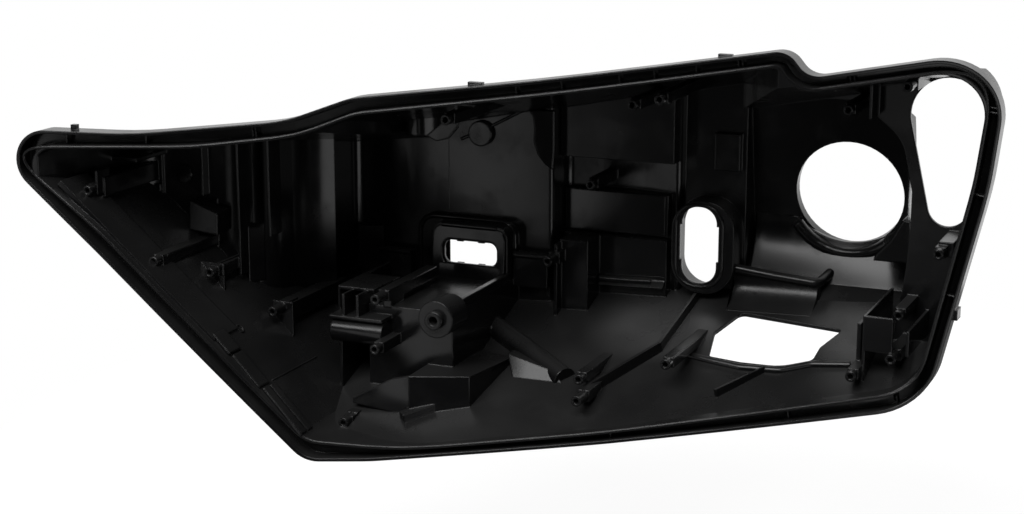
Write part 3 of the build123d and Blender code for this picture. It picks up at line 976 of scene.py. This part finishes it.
def ridges():
    """The ridge on the slope, the lip of the lower aperture, and the connectors' rims."""
    slope = [(95, -55, -40), (121, -50.5, -44), (155, -50.5, -46.5), (159, -33, -42)]
    place_beads("slope_ridge", [slope], 3.4, 6)
    lip = [(84, -128), (105, -133), (125, -137), (152, -137), (172, -127), (198, -124)]
    place_beads("aperture_lip", [[(x, y, floor_z(x, y) + 0.6) for x, y in lip]], 2.6, 8)
    place_beads("slot_bead", [rounded_frame(70, -24, 35, 60, -64)], 1.3, 15)
    place_beads("foot_bead", [rounded_frame(-106, -42, 77, 52, -78.4)], 2.1, 12)
    place_beads("frame_tops", [
        [(-134, -77.5, -16), (-78, -77.5, -16)],
        [(-120, -92, -18.5), (-76, -92, -18.5)],
        [(-66, -84.5, -38.5), (-39, -84.5, -38.5)],
        [(-175, -84.5, -44.5), (-150, -84.5, -44.5)],
        [(-7, -61.5, -56.2), (33, -60.5, -55)],
    ], 2.4, 1)


def connector_plate():
    """The plate's leaning face round the wide slot, the bar on its shelf and the face below it."""
    slot = rounded_rectangle(-97, -38.5, 45, 20, 7)
    rim = rounded_rectangle(-98, -39.5, 58, 41, 8)
    sections = []
    for (xa, za), (xb, zb) in zip(slot, rim):
        sections.append([(xa, lean(za), za), (xb, lean(zb), zb), (xb, -92, zb), (xa, -92, za)])
    loft("plate_face", sections + sections[:1])
    bar = [(-71, -186, -57), (-66, -186, -57), (-66, -186, -51.5), (-71, -186, -51.5)]
    foot = [(-122, -95.8, -46.5), (-122, -98, -59.5), (-122, -93, -59.5), (-122, -93, -46.5)]
    mould("shelf_bar", [(bar, ("y", -91.5)), (foot, ("x", -72))])


class HOUSING_OT_add_port_forms(bpy.types.Operator):
    """Adds the lip under the service port, the ridge on the slope and the connectors' forms"""

    bl_idname = "housing.add_port_forms"
    bl_label = "Add Port Forms"

    def execute(self, context):
        port_forms()
        ridges()
        connector_plate()
        return {"FINISHED"}


def lean(z):
    """Y of the connector plate's face, which leans back towards its top."""
    return -93.4 - 0.087 * (-18.7 - z)


def rounded_rectangle(x, z, width, height, radius, steps=5):
    """Points in XZ round a rectangle with rounded corners."""
    points = []
    for turn, (a, b) in enumerate(((1, 1), (-1, 1), (-1, -1), (1, -1))):
        for step in range(steps + 1):
            t = math.pi / 2 * (turn + step / steps)
            points.append((
                x + a * (width / 2 - radius) + radius * math.cos(t),
                z + b * (height / 2 - radius) + radius * math.sin(t),
            ))
    return points


def rounded_frame(x, z, width, height, y):
    """Corners of an upright frame, closed."""
    a, b = width / 2, height / 2
    corners = [(x - a, y, z - b), (x + a, y, z - b), (x + a, y, z + b), (x - a, y, z + b)]
    return corners + corners[:1]


class HOUSING_OT_set_stage(bpy.types.Operator):
    """Makes the floor, the studio light and the camera"""

    bl_idname = "housing.set_stage"
    bl_label = "Set Stage"

    def execute(self, context):
        add_floor()
        add_world()
        add_softboxes()
        add_camera()
        scene = context.scene
        scene.view_settings.view_transform = "Standard"
        return {"FINISHED"}


# ---------------------------------------------------------------- stage
def add_floor():
    """A pale round floor. It looks white and keeps a faint shadow of the housing."""
    settings = bpy.context.scene.stage_settings
    low = CAD_BOUNDS[0][2] - settings.floor_drop
    mesh = bpy.data.meshes.new("floor")
    turns = [2 * math.pi * step / 64 for step in range(64)]
    radius = settings.floor_radius
    rim = [(radius * math.cos(t), radius * math.sin(t) + 0.15, low) for t in turns]
    mesh.from_pydata(rim, [], [range(64)])
    floor = bpy.data.objects.new("floor", mesh)
    bpy.context.scene.collection.objects.link(floor)
    pale = bpy.data.materials.new("Pale floor")
    pale.use_nodes = True
    tree = pale.node_tree
    tree.nodes.clear()
    output = new_node(tree, "ShaderNodeOutputMaterial", 600, 0)
    both = new_node(tree, "ShaderNodeAddShader", 400, 0)
    light_path = new_node(tree, "ShaderNodeLightPath", -300, 300)
    seen = maths(tree, "MAXIMUM", -100, 300, light_path.outputs["Is Camera Ray"],
                 light_path.outputs["Is Transmission Ray"])
    glow = maths(tree, "MULTIPLY", 50, 300, seen, 0.86)
    matt = new_node(tree, "ShaderNodeBsdfDiffuse", 200, -100)
    matt.inputs["Color"].default_value = (0.3, 0.3, 0.3, 1)
    white = new_node(tree, "ShaderNodeEmission", 200, 100)
    join(
        tree,
        (glow, white.inputs["Strength"]),
        (matt.outputs["BSDF"], both.inputs[0]),
        (white.outputs["Emission"], both.inputs[1]),
        (both.outputs["Shader"], output.inputs["Surface"]),
    )
    mesh.materials.append(pale)


def add_world():
    """White behind the housing, and a dark room on the camera's side of it."""
    world = bpy.data.worlds.new("Studio")
    world.use_nodes = True
    tree = world.node_tree
    tree.nodes.clear()
    output = new_node(tree, "ShaderNodeOutputWorld", 800, 0)
    mix = new_node(tree, "ShaderNodeMixShader", 600, 0)
    light_path = new_node(tree, "ShaderNodeLightPath", 0, 400)
    seen = maths(tree, "MAXIMUM", 200, 400, light_path.outputs["Is Camera Ray"],
                 light_path.outputs["Is Transmission Ray"])
    white = new_node(tree, "ShaderNodeBackground", 350, 150)
    white.inputs["Color"].default_value = (1, 1, 1, 1)
    place = new_node(tree, "ShaderNodeTexCoord", -600, -100)
    split = new_node(tree, "ShaderNodeSeparateXYZ", -400, -100)
    rear = new_node(tree, "ShaderNodeMapRange", -150, -100)
    rear.inputs["From Min"].default_value = -0.1
    rear.inputs["From Max"].default_value = 0.7
    rear.inputs["To Min"].default_value = 0.02
    rear.inputs["To Max"].default_value = 1.0
    room = new_node(tree, "ShaderNodeBackground", 350, -100)
    room.inputs["Color"].default_value = (1, 1, 1, 1)
    join(
        tree,
        (place.outputs["Generated"], split.inputs["Vector"]),
        (split.outputs["Y"], rear.inputs["Value"]),
        (rear.outputs["Result"], room.inputs["Strength"]),
        (seen, mix.inputs["Fac"]),
        (room.outputs["Background"], mix.inputs[1]),
        (white.outputs["Background"], mix.inputs[2]),
        (mix.outputs["Shader"], output.inputs["Surface"]),
    )
    bpy.context.scene.world = world


def add_softbox(name, direction, distance, size, radiance):
    """A softbox in that direction from the housing, whose face has that radiance."""
    middle = Vector((0, -0.15, 0))
    towards = Vector(direction).normalized()
    width, height = size
    lamp = bpy.data.lights.new(name, "AREA")
    lamp.shape = "RECTANGLE"
    lamp.size = width
    lamp.size_y = height
    lamp.energy = radiance * math.pi * width * height
    obj = bpy.data.objects.new(name, lamp)
    obj.location = middle + towards * distance
    obj.rotation_euler = (-towards).to_track_quat("-Z", "Y").to_euler()
    obj.visible_camera = False
    bpy.context.scene.collection.objects.link(obj)


def add_softboxes():
    for name, direction, distance, size, radiance in SOFTBOXES:
        add_softbox(name, direction, distance, size, radiance)


def add_camera():
    settings = bpy.context.scene.stage_settings
    azimuth, elevation = settings.azimuth, settings.elevation
    back = Vector((
        math.sin(azimuth) * math.cos(elevation),
        -math.cos(azimuth) * math.cos(elevation),
        math.sin(elevation),
    ))
    data = bpy.data.cameras.new("camera")
    data.sensor_width = 36
    data.lens = settings.lens
    camera = bpy.data.objects.new("camera", data)
    camera.rotation_mode = "QUATERNION"
    camera.location = Vector((0, -0.24, 0)) + back * settings.distance
    camera.rotation_quaternion = (-back).to_track_quat("-Z", "Y")
    bpy.context.scene.collection.objects.link(camera)
    bpy.context.scene.camera = camera


# ---------------------------------------------------------------- panel and registration
class HOUSING_PT_panel(bpy.types.Panel):
    """Steps and sizes of the headlamp housing"""

    bl_idname = "HOUSING_PT_panel"
    bl_label = "Headlamp Housing"
    bl_space_type = "VIEW_3D"
    bl_region_type = "UI"
    bl_category = "Headlamp Housing"

    def draw(self, context):
        layout = self.layout
        for operator in OPERATORS:
            layout.operator(operator.bl_idname)
        for name in SETTINGS:
            group = getattr(context.scene, name)
            box = layout.box()
            for key in group.__annotations__:
                box.prop(group, key)


OPERATORS = (
    HOUSING_OT_finish_shell,
    HOUSING_OT_add_small_bosses,
    HOUSING_OT_add_channel_ribs,
    HOUSING_OT_round_inner_land,
    HOUSING_OT_add_back_forms,
    HOUSING_OT_add_wall_forms,
    HOUSING_OT_add_blends,
    HOUSING_OT_add_port_forms,
    HOUSING_OT_set_stage,
)
SETTINGS = {
    "plastic_settings": PlasticSettings,
    "boss_settings": BossSettings,
    "detail_settings": DetailSettings,
    "stage_settings": StageSettings,
}


def register():
    for cls in (*SETTINGS.values(), *OPERATORS, HOUSING_PT_panel):
        bpy.utils.register_class(cls)
    for name, cls in SETTINGS.items():
        setattr(bpy.types.Scene, name, bpy.props.PointerProperty(type=cls))


def unregister():
    for name in SETTINGS:
        delattr(bpy.types.Scene, name)
    for cls in reversed((*SETTINGS.values(), *OPERATORS, HOUSING_PT_panel)):
        bpy.utils.unregister_class(cls)


def main():
    register()
    bpy.ops.housing.finish_shell()
    bpy.ops.housing.add_small_bosses()
    bpy.ops.housing.add_channel_ribs()
    bpy.ops.housing.round_inner_land()
    bpy.ops.housing.add_back_forms()
    bpy.ops.housing.add_wall_forms()
    bpy.ops.housing.add_blends()
    bpy.ops.housing.add_port_forms()
    bpy.ops.housing.set_stage()


if __name__ == "__main__":
    main()
